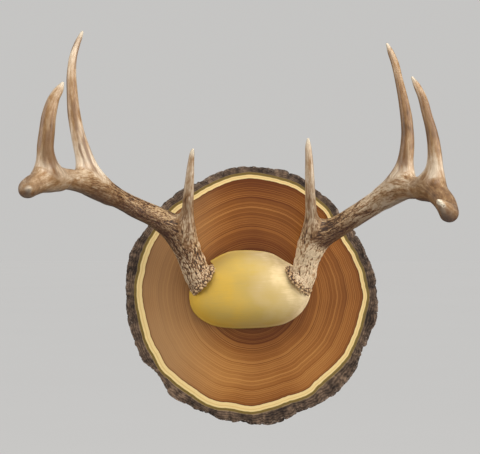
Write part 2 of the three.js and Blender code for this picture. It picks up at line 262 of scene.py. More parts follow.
class Level:
    """A value that varies over a surface. Arithmetic on it adds Math nodes to its wiring."""

    def __init__(self, wiring, socket):
        self.wiring, self.socket = wiring, socket

    def math(self, operation, *values):
        return self.wiring.node("ShaderNodeMath", {"operation": operation}, dict(enumerate(values)))

    def __add__(self, other):
        return self.math("ADD", self, other)

    def __sub__(self, other):
        return self.math("SUBTRACT", self, other)

    def __rsub__(self, other):
        return self.math("SUBTRACT", other, self)

    def __mul__(self, other):
        return self.math("MULTIPLY", self, other)

    __radd__ = __add__
    __rmul__ = __mul__

    def step(self, low, high):
        """Rises smoothly from 0 at low to 1 at high, or falls when low is above high."""
        sockets = {0: self, 1: min(low, high), 2: max(low, high)}
        rise = self.wiring.node("ShaderNodeMapRange", {"interpolation_type": "SMOOTHSTEP"}, sockets)
        return rise if low < high else 1 - rise


class Wiring:
    """The nodes of a material or of the room, all added by node()."""

    def __init__(self, owner):
        owner.use_nodes = True
        self.tree = owner.node_tree

    def node(self, kind, settings=None, sockets=None, out=0):
        """Adds a node: its settings first, then the value or link of each socket. Gives its output back."""
        made = self.tree.nodes.new(kind)
        for setting, value in (settings or {}).items():
            if setting == "stops":
                while len(made.color_ramp.elements) < len(value):
                    made.color_ramp.elements.new(1)
                for element, (place, colour) in zip(made.color_ramp.elements, value):
                    element.position, element.color = place, (*colour, 1)
            else:
                setattr(made, setting, value)
        for socket, value in (sockets or {}).items():
            self.join(value, made.inputs[socket])
        return Level(self, made.outputs[out])

    def join(self, value, socket):
        if isinstance(value, Level):
            self.tree.links.new(value.socket, socket)
        elif hasattr(value, "__len__") and len(value) == 3 and socket.type == "RGBA":
            socket.default_value = (*value, 1)
        else:
            socket.default_value = value

    def blend(self, share, one, other, kind="MIX"):
        """A colour between two others, or one laid on the other in another way, such as MULTIPLY."""
        settings = {"data_type": "RGBA", "blend_type": kind}
        return self.node("ShaderNodeMix", settings, {0: share, 6: one, 7: other}, out=2)


class Finish(Wiring):
    """A material in the making, with its surface shader ready."""

    def __init__(self, name, **constants):
        self.material = bpy.data.materials.new(name)
        super().__init__(self.material)
        self.surface = self.tree.nodes["Principled BSDF"]
        self.where = self.node("ShaderNodeTexCoord", out="Object")
        for socket, value in constants.items():
            self.surface.inputs[socket.replace("_", " ")].default_value = value

    def mark(self, name):
        """A number kept on the mesh's points."""
        return self.node("ShaderNodeAttribute", {"attribute_name": name}, out="Fac")

    def noise(self, scale, detail, stretch=None, where=None):
        """Cloudy noise from 0 to 1, with scale in features per metre, stretched along an axis if asked."""
        where = where or self.where
        if stretch:
            where = self.node("ShaderNodeVectorMath", {"operation": "MULTIPLY"}, {0: where, 1: stretch})
        sockets = {"Vector": where, "Scale": scale, "Detail": detail}
        return self.node("ShaderNodeTexNoise", {"noise_dimensions": "3D"}, sockets)

    def ramp(self, level, *stops):
        """The colour of a level among stops, each a place from 0 to 1 with its colour."""
        return self.node("ShaderNodeValToRGB", {"stops": stops}, {0: level})

    def place(self, axis):
        """How far a point lies along an axis of the piece, in metres."""
        return self.node("ShaderNodeSeparateXYZ", sockets={0: self.where}, out="XYZ".index(axis))

    def paint(self, **sockets):
        """Links what varies to the surface shader."""
        for socket, value in sockets.items():
            self.join(value, self.surface.inputs[socket.replace("_", " ")])
        return self.material

    def bumps(self, height, distance):
        """The normal of a relief, whose height of 1 stands `distance` metres proud."""
        return self.node("ShaderNodeBump", sockets={"Height": height, "Distance": distance, "Strength": 1.0})


timber = Finish("lacquered_end_grain", Specular_IOR_Level=0.14, Coat_Roughness=0.25)
growth, sawn = map(timber.mark, ("growth", "sawn"))
wander = timber.noise(14, 2) - 0.5
ring_place = growth + wander * 0.012
HEARTWOOD_DARK = (0.120, 0.032, 0.005)
HEARTWOOD_MID = (0.280, 0.104, 0.020)
HEARTWOOD_LIGHT = (0.500, 0.238, 0.066)
HEARTWOOD_SHEEN_GREY = (0.345, 0.212, 0.104)
SAPWOOD_CREAM = (0.78, 0.61, 0.29)
SAPWOOD_LINE = (0.55, 0.36, 0.10)
SAWN_BROWN = (0.33, 0.20, 0.11)
INNER_BARK_OLIVE = (0.175, 0.122, 0.034)
# How light the wood of the years is, from the pith (0) to the heartwood's edge (1). The dark band from 0.27
# to 0.36, which shows only just below the cover, is the cover's painted shadow; the dark ring at 0.425 is
# partly a ring of the wood and partly deepens that painted shadow.
YEAR_AND_SHADOW_TONES = {0.0: 0.4, 0.27: 0.08, 0.36: 0.08, 0.40: 0.20, 0.425: 0.04, 0.45: 0.34, 0.53: 0.46, 0.60: 0.60,
              0.78: 0.66, 0.90: 0.52, 0.97: 0.44, 1.0: 0.30}


def rings_of(count, detail, seed):
    """Growth rings as noise along the radius, so that no two are the same width."""
    settings = {"noise_dimensions": "1D"}
    sockets = {"W": ring_place * count + seed, "Scale": 1.0, "Detail": detail, "Roughness": 0.65}
    return timber.node("ShaderNodeTexNoise", settings, sockets)


broad_rings = rings_of(9, 2, 3.7)
fine_rings = rings_of(52, 3, 11.3)
hair_rings = rings_of(150, 1, 29.1)
years_and_shadow = timber.ramp(ring_place, *((place, (tone, tone, tone)) for place, tone in YEAR_AND_SHADOW_TONES.items()))
patches = timber.noise(8, 3)
across, upward = timber.place("X"), timber.place("Z")
# Besides the rings, the tone darkens towards the top and the right and lightens near the heartwood's right
# edge: painted shade and painted light.
ring_and_shade_tone = (broad_rings * 0.20 + fine_rings * 0.30 + hair_rings * 0.46 - 0.02
             + (years_and_shadow - 0.5) * 0.40 + (patches - 0.5) * 0.40 - upward * 0.60 - across * 0.80
             + growth.step(0.78, 0.95) * across.step(0.0, 0.10) * 0.10)
heartwood = timber.ramp(ring_and_shade_tone, (0.32, HEARTWOOD_DARK), (0.49, HEARTWOOD_MID), (0.68, HEARTWOOD_LIGHT))
# The heartwood turns grey towards the left: a painted sheen of lamp light on the lacquer.
painted_sheen = across.step(-0.02, -0.11) * (patches + 0.35)
heartwood = timber.blend(painted_sheen * 0.8, heartwood, HEARTWOOD_SHEEN_GREY)
edge_line = growth.step(0.985, 1.0) * growth.step(1.02, 1.0)
sapwood_middle = growth.step(1.45, 1.6) * growth.step(1.75, 1.6)
sapwood_tone = timber.blend(sapwood_middle * 0.5, SAPWOOD_CREAM, SAPWOOD_LINE)
wood_colour = timber.blend(growth.step(0.995, 1.03), heartwood, sapwood_tone)
wood_colour = timber.blend(edge_line * 0.8, wood_colour, HEARTWOOD_DARK)
wood_colour = timber.blend(growth.step(1.97, 2.08), wood_colour, INNER_BARK_OLIVE)
saw_marks = timber.noise(60, 2, stretch=(1, 1, 12))
sawn_tone = timber.blend(saw_marks * 0.5 + 0.25, SAWN_BROWN, wood_colour)
wood_colour = timber.blend(sawn, wood_colour, sawn_tone)
grain_relief = fine_rings * 0.6 + hair_rings * 0.4
wood.data.materials.append(timber.paint(
    Base_Color=wood_colour,
    Roughness=0.40 + sawn * 0.4 + (fine_rings - 0.5) * 0.12,
    Coat_Weight=(1 - sawn) * 0.05,
    Normal=timber.bumps(grain_relief + sawn * saw_marks * 4, 0.0001)))
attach(wood, "root")
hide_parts("wood_slice")

# ==== The bark ====
# The bark was left on the slice: dark, dry plates with furrows between them that run along the trunk, cut
# off flat by the saw in front and behind, and chipped at their edges.

# The bark's outer reach, in mm from the slice's centre, every 10 degrees from +X towards +Z.
BARK_EDGE = [151, 150, 147, 145, 145, 147, 150, 154, 155, 154, 153, 151, 150, 152, 151, 150, 153, 152,
             150, 151, 150, 151, 147, 152, 152, 151, 153, 154, 156, 153, 151, 154, 153, 151, 149, 152]
BARK_STEPS = 900
BARK_PLATE = np.array([19.0, 34.0, 19.0])
BARK_FURROW = 4.5
BARK_CUT_LOOPS, BARK_WALL_LOOPS = 12, 26

bark_angles = np.arange(BARK_STEPS) / BARK_STEPS * TURN
bark_inside = np.interp(bark_angles, slice_angles, growth_edges[2], period=TURN)
bark_outside = around(BARK_EDGE, bark_angles)


def bark_loop(share, depth, cut):
    """One loop of the bark, from its inside (share 0) to its outside (share 1), and how cracked it is."""
    direction = np.stack([np.cos(bark_angles), np.zeros(BARK_STEPS), np.sin(bark_angles)], axis=1)
    at = direction * bark_outside[:, None] + [0, depth, 0]
    near, second = cells(at / BARK_PLATE + rough(at / 16, 5)[:, None] * 0.6, 17)
    crack = 1 - smooth_step(0.0, 0.16, second - near)
    swell = 1 - smooth_step(0.1, 0.8, near)
    flakes = rough(at / [4.5, 10, 4.5], 31, 4)
    lobes = rough(at / 24, 77)
    crack *= 0.55 + 0.45 * lobes
    worn = BARK_FURROW * crack + 1.3 * (1 - swell) + 1.3 * flakes + 2.8 * lobes - 1.5
    for face, seed in ((FRONT, 41), (BACK, 43)):
        worn += 0.7 * smooth_step(5, 0, abs(depth - face)) * (1 + 1.5 * rough(at / 5, seed))
    outer = np.maximum(bark_outside - np.maximum(worn, -2.2), bark_inside + 2)
    radius = bark_inside + (outer - bark_inside) * share
    loop = direction * radius[:, None] + [SLICE_CENTRE[0], depth, SLICE_CENTRE[1]]
    if cut:
        towards = 1 if depth < (FRONT + BACK) / 2 else -1
        crumble = np.clip(rough(loop / 3.5, 53) + 0.25, 0, 1) * smooth_step(0.05, 0.5, share) * 1.4
        crumble += smooth_step(0.7, 1.0, share) * 0.9
        loop[:, 1] += towards * crumble
    return loop, crack


bark_places = [(share, FRONT, 1.0) for share in np.linspace(0, 1, BARK_CUT_LOOPS)]
bark_places += [(1.0, depth, 0.0) for depth in np.linspace(FRONT, BACK, BARK_WALL_LOOPS + 2)[1:-1]]
bark_places += [(share, BACK, 1.0) for share in np.linspace(1, 0, BARK_CUT_LOOPS)]
bark_loops, bark_cracks = zip(*(bark_loop(*place) for place in bark_places))
bark = lofted("slice_bark", bark_loops, {
    "crack": np.concatenate(bark_cracks),
    "layer": np.repeat([share for share, _, _ in bark_places], BARK_STEPS),
    "cut": np.repeat([cut for _, _, cut in bark_places], BARK_STEPS)}, closed=True)

rind = Finish("rough_bark", Specular_IOR_Level=0.25)
crack, layer, cut = map(rind.mark, ("crack", "layer", "cut"))
BARK_DEEP = (0.016, 0.011, 0.010)
BARK_FACE = (0.098, 0.066, 0.047)
BARK_GREY = (0.285, 0.222, 0.178)
BARK_FRESH = (0.240, 0.165, 0.112)
BARK_PORE = (0.022, 0.015, 0.012)
BARK_BAST = (0.30, 0.22, 0.12)
BARK_FLAKE = (0.40, 0.32, 0.26)
mottle = rind.noise(190, 5, stretch=(1, 0.3, 1))
patch = rind.noise(40, 3)
specks = rind.noise(900, 3, stretch=(1, 0.4, 1))
outside_tone = mottle * 0.6 + patch * 0.4
outside_colour = rind.ramp(outside_tone, (0.36, BARK_DEEP), (0.50, BARK_FACE), (0.64, BARK_GREY))
layers = layer * 26 + (rind.noise(70, 3) - 0.5) * 16
layer_lines = rind.node("ShaderNodeMath", {"operation": "SINE"}, {0: layers}) * 0.5 + 0.5
cut_tone = layer_lines * 0.10 + mottle * 0.50 + patch * 0.4
cut_colour = rind.ramp(cut_tone, (0.38, BARK_PORE), (0.52, BARK_FACE), (0.66, BARK_FRESH))
cut_colour = rind.blend(layer.step(0.12, 0.0) * 0.8, cut_colour, BARK_BAST)
bark_colour = rind.blend(cut, outside_colour, cut_colour)
bark_colour = rind.blend(crack * 0.7, bark_colour, BARK_DEEP)
rim_flakes = layer.step(0.8, 1.0) * specks.step(0.48, 0.6) * cut
bark_colour = rind.blend(rim_flakes * 0.6, bark_colour, BARK_FLAKE)
bark.data.materials.append(rind.paint(
    Base_Color=bark_colour,
    Roughness=0.75 + mottle * 0.15,
    Normal=rind.bumps(mottle * 0.7 + specks * 0.3, 0.0012)))
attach(bark, "root")
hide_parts("wood_slice")

# ==== The hanger ====
# A stamped keyhole plate of zinc-plated steel lies in the recess, held by two pan-head screws. The head of a
# wall screw enters its round hole, and the slot drops onto the shank. The skull plate's screws are of the
# same steel.

PLATE_BACK, PLATE_FACE = hanger_low.y / MM, hanger_high.y / MM
KEYHOLE_RADIUS, SLOT_WIDTH, SLOT_LENGTH = 5.2, 5.4, 14
KEYHOLE_Z = HANGER_Z - 5
PLATE_EDGE = 0.25


def keyhole_outline():
    """The round entry with the slot that rises from it, as one loop."""
    half = SLOT_WIDTH / 2
    meet = math.asin(half / KEYHOLE_RADIUS)
    start, stop = math.pi / 2 + meet, math.pi * 5 / 2 - meet
    entry = [start + (stop - start) * i / 40 for i in range(41)]
    loop = [[KEYHOLE_RADIUS * math.cos(a), KEYHOLE_Z + KEYHOLE_RADIUS * math.sin(a)] for a in entry]
    top_z = KEYHOLE_Z + SLOT_LENGTH - half
    top = [math.pi * i / 16 for i in range(17)]
    return loop + [[half * math.cos(a), top_z + half * math.sin(a)] for a in top]


def stamped_plate(name, outline, holes, back, face, edge):
    """Sheet metal with an outline and holes, its edges rounded by `edge`."""
    drawn = bpy.data.curves.new(name, "CURVE")
    drawn.dimensions, drawn.fill_mode = "2D", "BOTH"
    for loop in [outline, *holes]:
        spline = drawn.splines.new("POLY")
        spline.points.add(len(loop) - 1)
        for point, (x, z) in zip(spline.points, loop):
            point.co = (x * MM, z * MM, 0, 1)
        spline.use_cyclic_u = True
    drawn.extrude = ((face - back) / 2 - edge) * MM
    drawn.bevel_depth, drawn.bevel_resolution, drawn.offset = edge * MM, 2, -edge * MM
    drawing = placed(name, drawn)
    mesh = finished_mesh(drawing)
    bpy.data.objects.remove(drawing)
    points = np.array([v.co for v in mesh.vertices]) / MM
    points = np.stack([points[:, 0], points[:, 2] + (face + back) / 2, points[:, 1]], axis=1)
    plate = piece_from(name, points, [list(p.vertices)[::-1] for p in mesh.polygons], smooth=False)
    tidy = bmesh.new()
    tidy.from_mesh(plate.data)
    bmesh.ops.remove_doubles(tidy, verts=tidy.verts, dist=1e-6)
    bmesh.ops.recalc_face_normals(tidy, faces=tidy.faces)
    tidy.to_mesh(plate.data)
    return plate


hanger_screw_spots = [((low.x + high.x) / 2 / MM, (low.z + high.z) / 2 / MM)
                      for low, high in (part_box("hanger_screw_1"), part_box("hanger_screw_2"))]
SCREW_HOLE = 1.9
screw_holes = [[[x + px, pz] for px, pz in round_ended(2 * SCREW_HOLE, 2 * SCREW_HOLE, z)]
               for x, z in hanger_screw_spots]
hanger = stamped_plate(
    "keyhole_plate", round_ended(HANGER_WIDTH, HANGER_HEIGHT, HANGER_Z), [keyhole_outline(), *screw_holes],
    PLATE_BACK, PLATE_FACE, PLATE_EDGE)

# The flat of a screw's head, its cross and its thread's root, all as shares, and the thread's pitch in mm.
HEAD_FLAT = 0.8
THREAD_PITCH, THREAD_ROOT = 1.3, 0.78
CROSS_WIDTH, CROSS_REACH, CROSS_DEPTH = 0.14, 0.6, 0.55
SCREW_STEPS = 48


def pan_head_screw(name, node, head_share, shank_radius, into):
    """A cross-recessed pan-head screw in the box of its CAD node. into is the way its point faces along Y."""
    low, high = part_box(node)
    radius = (high.x - low.x) / 2 / MM
    length = (high.y - low.y) / MM
    head = length * head_share
    profile = [(0.0, 0.0)] + [(radius * HEAD_FLAT * i / 12, 0.0) for i in range(1, 13)]
    profile += [(radius * (HEAD_FLAT + (1 - HEAD_FLAT) * math.sin(a)), head * 0.5 * (1 - math.cos(a)))
                for a in np.linspace(0.3, 1.57, 6)]
    profile += [(radius, head), (shank_radius, head)]
    turns = int((length - head) / THREAD_PITCH)
    for i in range(turns):
        start = head + (length - head) * i / turns
        taper = 1 - smooth_step(0.75, 1.0, i / turns) * 0.8
        profile += [(shank_radius * THREAD_ROOT * taper, start + 0.3), (shank_radius * taper, start + 0.75)]
    profile += [(0.0, length)]
    start_y = (low.y if into > 0 else high.y) / MM
    middle = [(low.x + high.x) / 2 / MM, start_y, (low.z + high.z) / 2 / MM]
    angles = np.arange(SCREW_STEPS) / SCREW_STEPS * TURN
    loops = []
    for reach, down in profile:
        if reach == 0:
            loops.append(np.array([[0.0, down or head * 0.6, 0.0]]))
            continue
        across, upward = reach * np.cos(angles), reach * np.sin(angles)
        arm = np.minimum(np.abs(across), np.abs(upward))
        crossed = (down == 0) & (arm < radius * CROSS_WIDTH) & (reach < radius * CROSS_REACH)
        loops.append(np.stack([across, down + head * CROSS_DEPTH * crossed, upward], axis=1))
    return lofted(name, [loop * [1, into, into] + middle for loop in loops], smooth=False)


zinc = Finish("zinc_plated_steel", Metallic=1.0)
spangle = zinc.noise(700, 2)
scuffs = zinc.noise(260, 3, stretch=(1, 1, 0.1))
ZINC_DULL, ZINC_BRIGHT = (0.50, 0.50, 0.50), (0.68, 0.67, 0.65)
zinc.paint(
    Base_Color=zinc.ramp(spangle, (0.3, ZINC_DULL), (0.7, ZINC_BRIGHT)),
    Roughness=0.28 + scuffs * 0.25,
    Normal=zinc.bumps(spangle, 0.00003))

HANGER_SCREW_HEAD, SKULL_SCREW_HEAD = 1.3 / 15.3, 3 / 41
HANGER_SHANK, SKULL_SHANK = 1.5, 2.2
fixings = [pan_head_screw(f"hanger_fixing_{i}", f"hanger_screw_{i}", HANGER_SCREW_HEAD, HANGER_SHANK, -1)
           for i in (1, 2)]
fixings += [pan_head_screw(f"skull_fixing_{i}", f"skull_screw_{i}", SKULL_SCREW_HEAD, SKULL_SHANK, 1)
            for i in (1, 2, 3)]
steel_nodes = ["hanger_screw_1", "hanger_screw_2", "skull_screw_1", "skull_screw_2", "skull_screw_3",
               "hanger_plate"]
for piece, node in zip([*fixings, hanger], steel_nodes):
    piece.data.materials.append(zinc.material)
    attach(piece, "root")
    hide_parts(node)

# ==== The skull plate ====
# The top of the skull, sawn off flat and screwed to the slice, with the two pedicles that the antlers grew
# from. It is hidden but for its sawn edge, under the cover's rim, and the ends of the pedicles.

# The cover's reach from its middle, in mm, every 20 degrees from +X towards +Z, and the slots that clear the
# burrs: each starts at a point just inside its burr and runs outwards along it.
COVER_RADII = [71.8, 63.5, 53.6, 50, 46.9, 47.5, 51.7, 56.6, 65.5,
               71.5, 72, 62.8, 52, 46.2, 45.6, 50.2, 59.1, 67.7]
COVER_CENTRE_Z = 6.5
CROWN_POWER, CROWN_ROOT = 3.0, 0.55
PLATE_MARGIN = 4.0
BURR_SLOTS = [((-51.6, 16.7), (-0.78, 0.62)), ((54.1, 16.2), (0.78, 0.62))]
SLOT_HALF_WIDTH, SLOT_REACH = 21.6, 60
skull_low, skull_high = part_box("skull_plate")
PEDICLES = [[(-22, -46, -2, 14), (-37, -48, 7, 12), (-47, -49, 13, 11), (-51.5, -50.5, 16.6, 11)],
            [(24, -46, -2, 14), (39, -48, 7, 12), (49, -48.5, 13, 11), (54, -49.5, 16.1, 10.5)]]


def lengths_along(line):
    """The length of a line from its start to each of its points."""
    return np.concatenate([[0], np.cumsum(np.linalg.norm(np.diff(line[:, :3], axis=0), axis=1))])


LINE_SPACING = 1.5


def limb_line(points):
    """Centres and radii along a limb, on a smooth curve through its given points."""
    points = np.array(points, float)
    knots = lengths_along(points)
    gaps = np.diff(knots)
    slopes = np.gradient(points, knots, axis=0)
    along = np.linspace(0, knots[-1], int(knots[-1] / LINE_SPACING) + 2)
    span = np.clip(np.searchsorted(knots, along, side="right") - 1, 0, len(gaps) - 1)
    length = gaps[span][:, None]
    t = (along - knots[span])[:, None] / length
    start, end = points[span], points[span + 1]
    curve = (2 * t ** 3 - 3 * t ** 2 + 1) * start + (3 * t ** 2 - 2 * t ** 3) * end
    curve += length * ((t ** 3 - 2 * t ** 2 + t) * slopes[span] + (t ** 3 - t ** 2) * slopes[span + 1])
    return curve


def limb_frames(line):
    """For each point of a limb's line: the way along it, and two ways across it."""
    along = np.gradient(line[:, :3], axis=0)
    along /= np.linalg.norm(along, axis=1)[:, None]
    aside = np.array([1.0, 0, 0]) - along * along[:, :1]
    aside /= np.linalg.norm(aside, axis=1)[:, None]
    return along, aside, np.cross(aside, along)


TUBE_STEPS = 24


def limb_tube(name, line):
    """A closed tube round a limb's line."""
    along, aside, upward = limb_frames(line)
    angles = np.arange(TUBE_STEPS) / TUBE_STEPS * TURN
    loops = [line[:1, :3]]
    for centre, side, up in zip(line, aside, upward):
        ring = np.cos(angles)[:, None] * side + np.sin(angles)[:, None] * up
        loops.append(centre[:3] + centre[3] * ring)
    end, radius = line[-1, :3], line[-1, 3]
    for rise in (math.pi / 6, math.pi / 3):
        loops.append(end + radius * (math.cos(rise) * ring + math.sin(rise) * along[-1]))
    loops.append((end + radius * along[-1])[None])
    return lofted(name, loops)


def grown_together(name, parts, voxel):
    """One skin round several closed meshes, as a remesh of their union. The parts are removed."""
    bpy.ops.object.select_all(action="DESELECT")
    for part in parts:
        part.select_set(True)
    bpy.context.view_layer.objects.active = parts[0]
    bpy.ops.object.join()
    union = parts[0]
    skin = union.modifiers.new("skin", "REMESH")
    skin.mode, skin.voxel_size = "VOXEL", voxel * MM
    mesh = finished_mesh(union)
    bpy.data.objects.remove(union)
    points = np.empty(len(mesh.vertices) * 3)
    mesh.vertices.foreach_get("co", points)
    corners = np.empty(len(mesh.loops), int)
    mesh.loops.foreach_get("vertex_index", corners)
    starts = np.empty(len(mesh.polygons), int)
    mesh.polygons.foreach_get("loop_start", starts)
    faces = [face.tolist() for face in np.split(corners, starts[1:])]
    return points.reshape(-1, 3) / MM, faces


def dome_loops(inset, depth, rim_y, rings, steps):
    """Loops of a dome that rises towards the room, from rim to crown, inset from the cover's outline."""
    angles = np.arange(steps) / steps * TURN
    radius = around(COVER_RADII, angles) - inset
    loops = []
    for i in range(rings, 0, -1):
        reach = math.sin(i / rings * math.pi / 2)
        rise = depth * max(1 - reach ** CROWN_POWER, 0) ** CROWN_ROOT
        points = [reach * radius * np.cos(angles), np.full(steps, rim_y - rise),
                  COVER_CENTRE_Z + reach * radius * np.sin(angles)]
        loops.append(np.stack(points, axis=1))
    return loops + [np.array([[0, rim_y - depth, COVER_CENTRE_Z]])]


def slot_cutters(margin, corner):
    """A bar for each burr that cuts its slot, wider by a margin, with rounded inner corners."""
    cutters = []
    for (x, z), (away_x, away_z) in BURR_SLOTS:
        half = SLOT_HALF_WIDTH + margin
        bends = np.linspace(0, math.pi / 2, 7)
        inner = [(corner - corner * math.cos(a) - margin, half - corner + corner * math.sin(a))
                 for a in bends]
        outline = [(along, -aside) for along, aside in inner[::-1]] + inner
        outline = [(SLOT_REACH, -half), *outline, (SLOT_REACH, half)]
        outline = [[x + along * away_x - aside * away_z, z + along * away_z + aside * away_x]
                   for along, aside in outline]
        if away_x < 0:
            outline.reverse()
        cutters.append(upright_bar("slot_cutter", outline, 0, -2 * SLOT_REACH))
    return cutters


plate_back = skull_high.y / MM
bone_loops = dome_loops(PLATE_MARGIN, plate_back - skull_low.y / MM, plate_back, 14, 96)
bone_loops.insert(0, np.array([[0, plate_back, COVER_CENTRE_Z]]))
bone_dome = lofted("bone_dome", bone_loops)
cut_away(bone_dome, slot_cutters(2, 4))
pedicles = [limb_tube(f"pedicle_{i}", limb_line(points)) for i, points in enumerate(PEDICLES)]
bone_points, bone_faces = grown_together("skull", [bone_dome, *pedicles], 1.3)
flat_back = bone_points[:, 1] > plate_back - 0.8
bone_points[:, 1] = np.where(flat_back, plate_back, bone_points[:, 1] + 0.5 * rough(bone_points / 9, 91))
skull = piece_from("skull_bone", bone_points, bone_faces)

boiled = Finish("boiled_bone", Specular_IOR_Level=0.35)
pores = boiled.noise(1200, 3)
stain = boiled.noise(45, 4)
BOILED_BROWN = (0.36, 0.26, 0.15)
BOILED_CREAM = (0.60, 0.49, 0.33)
boiled.paint(
    Base_Color=boiled.ramp(stain * 0.7 + pores * 0.3, (0.3, BOILED_BROWN), (0.6, BOILED_CREAM)),
    Roughness=0.6 + pores * 0.2,
    Normal=boiled.bumps(pores, 0.0003))
skull.data.materials.append(boiled.material)
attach(skull, "root")
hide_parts("skull_plate")

# ==== The antlers ====
# Each antler is one grown piece of bone: a burr of pearled knobs round its base, a beam that sweeps out and
# forward, and three tines. Bark juices stained its pearls and grooves brown, and rubbing polished its ridges
# and tips pale.

# Each point is (x, y, z, radius) in mm along the middle of a limb, as in the frame. A tine starts thin
# inside the beam, so that it swells only its own side of it.
LEFT_LIMBS = {
    "beam": [(-51.9, -53.2, 16.9, 16), (-54.4, -53.8, 18.9, 18), (-58, -55, 22, 18),
             (-61.5, -56.5, 26, 16.2), (-67, -61, 40, 15.3), (-77, -67, 62, 15.2), (-89, -76, 79, 15),
             (-107, -89, 92.6, 12.6), (-129, -107, 103.4, 11.4), (-152, -132, 116.4, 11.1),
             (-173, -165, 126.7, 11.2), (-193, -220, 133, 11.3), (-209, -284, 128, 11),
             (-213, -322, 123, 10.4), (-212.5, -350, 119, 8.8), (-208, -374, 118, 5.4),
             (-204.5, -385, 119, 1)],
    "brow": [(-74, -76, 62, 5), (-72, -84, 78, 7.6), (-71, -92, 96, 6.7), (-70, -101, 116, 6.2),
             (-68, -109, 138, 5), (-66, -115, 157, 3.8), (-64.5, -118, 167, 2.4), (-63.5, -119, 171, 1)],
    "second": [(-157, -143, 120, 3), (-168, -160, 133, 8), (-177, -173, 149, 10.2), (-182, -179, 166, 9),
               (-186, -183, 183, 7.8), (-190, -185, 205, 6.9), (-192, -185, 229, 5.9), (-193, -183, 249, 5),
               (-192, -179, 267, 4.3), (-188, -174, 283, 3.3), (-184, -170, 294, 2), (-182.5, -169, 298, 1)],
    "third": [(-197, -244, 132, 3), (-200.5, -266, 137, 8), (-203, -286, 147, 9.8),
              (-203.4, -297, 161, 8.6), (-201.4, -301, 177, 8.1), (-198.6, -303, 196, 7.1),
              (-194, -301, 212, 5.6), (-188, -298, 223, 3.6), (-185.5, -296, 228.5, 1)],
}
RIGHT_LIMBS = {
    "beam": [(54.4, -53.2, 16.4, 15.5), (56.9, -53.8, 18.4, 17.5), (60, -55, 21.5, 17.5),
             (63, -56.5, 25.5, 15.4), (66, -61, 38, 14), (72, -67, 54, 14), (83, -75, 70, 14.3),
             (102, -88, 82, 12.6), (122, -107, 95, 11.8), (143, -131, 109.4, 12.2),
             (162, -165, 121.4, 11.9), (180, -215, 123.6, 11.8), (192, -262, 119, 11.5),
             (198.2, -300, 107.4, 10.6), (198.6, -333, 96, 9.4), (192, -362, 98.6, 7.4),
             (186.5, -379, 102, 5.4), (182.5, -388, 105.3, 3.2), (180, -393, 107.5, 1)],
    "brow": [(66, -76, 62, 5), (70, -84, 78, 7.4), (71, -92, 96, 6.5), (70, -101, 118, 5.9),
             (69, -109, 141, 5.2), (68, -115, 162, 4.1), (67, -118, 177, 2.6), (67, -119, 183, 1)],
    "second": [(150, -149, 116, 3), (161, -167, 127, 8), (168.5, -181, 143, 9.8), (171.2, -188, 160, 8.1),
               (172.2, -191, 178, 7), (171, -192, 198, 6.2), (168, -191, 217, 5.5), (163.2, -188, 241, 4.5),
               (159, -183, 261, 4), (154, -178, 275, 2.8), (151, -175, 283, 1)],
    "third": [(186, -234, 122, 3), (189, -252, 129, 8), (191.6, -269, 141, 8.8), (190.8, -278, 158, 7.1),
              (187.8, -281, 177, 6), (183, -282, 195, 5.1), (178, -280, 214, 4.2), (172, -276, 228, 2.9),
              (168, -273, 236, 1)],
}
# How pale and how rough each limb is at places along it, in mm from its start, and the length and shine of
# its polished tip.
LEFT_WEAR = {
    "beam": {"pale": {0: 0.62, 30: 0.62, 80: 0.26, 200: 0.22, 250: 0.42, 300: 0.55, 440: 0.38},
             "rough": {0: 1.0, 90: 0.85, 200: 0.5, 280: 0.18, 440: 0.12}, "tip": (8, 0.5)},
    "brow": {"pale": {0: 0.42, 40: 0.40, 90: 0.60}, "rough": {0: 0.8, 40: 0.45, 100: 0.15}, "tip": (9, 0.8)},
    "second": {"pale": {0: 0.50, 35: 0.98, 75: 0.78, 105: 0.48, 140: 0.54, 170: 0.72},
               "rough": {0: 0.3, 45: 0.10, 170: 0.08}, "tip": (9, 0.8)},
    "third": {"pale": {0: 0.46, 45: 0.72, 75: 0.34, 110: 0.54},
              "rough": {0: 0.25, 50: 0.10, 110: 0.08}, "tip": (8, 0.8)},
}
RIGHT_WEAR = {
    "beam": {"pale": {0: 1.15, 52: 1.25, 66: 0.34, 90: 0.18, 160: 0.58, 250: 0.46, 300: 0.25, 380: 0.28,
                      430: 0.50},
             "rough": {0: 1.0, 90: 0.85, 200: 0.5, 280: 0.22, 440: 0.10}, "tip": (4, 0.95)},
    "brow": {"pale": {0: 0.28, 40: 0.42, 90: 0.66}, "rough": {0: 0.8, 40: 0.45, 100: 0.15}, "tip": (9, 0.8)},
    "second": {"pale": {0: 0.42, 50: 0.74, 90: 0.28, 140: 0.42, 170: 0.50},
               "rough": {0: 0.35, 60: 0.15, 170: 0.08}, "tip": (9, 0.8)},
    "third": {"pale": {0: 0.40, 50: 0.72, 80: 0.22, 120: 0.50},
              "rough": {0: 0.3, 50: 0.12, 120: 0.08}, "tip": (8, 0.8)},
}
# A small pore beside the right beam's tip, in a patch that is worn pale from the pore to the tip.
PORE = {"left": None, "right": (186.2, -386.8, 102.4)}
SKIN_VOXEL = 0.86
FORK_BLEND, KNOB_BLEND = 21.0, 1.5
BURR_REACH = 22.8
BURR_KNOBS = 29
BURR_ZONE = 18
TIP_RADIUS = 1.2


def rounded_tip(line):
    """Ends a limb in a small ball that reaches as far as the given tip."""
    tip = line[-1, :3]
    away = np.linalg.norm(line[:, :3] - tip, axis=1)
    line = line[away >= TIP_RADIUS]
    line[:, 3] = np.maximum(line[:, 3], TIP_RADIUS)
    return line


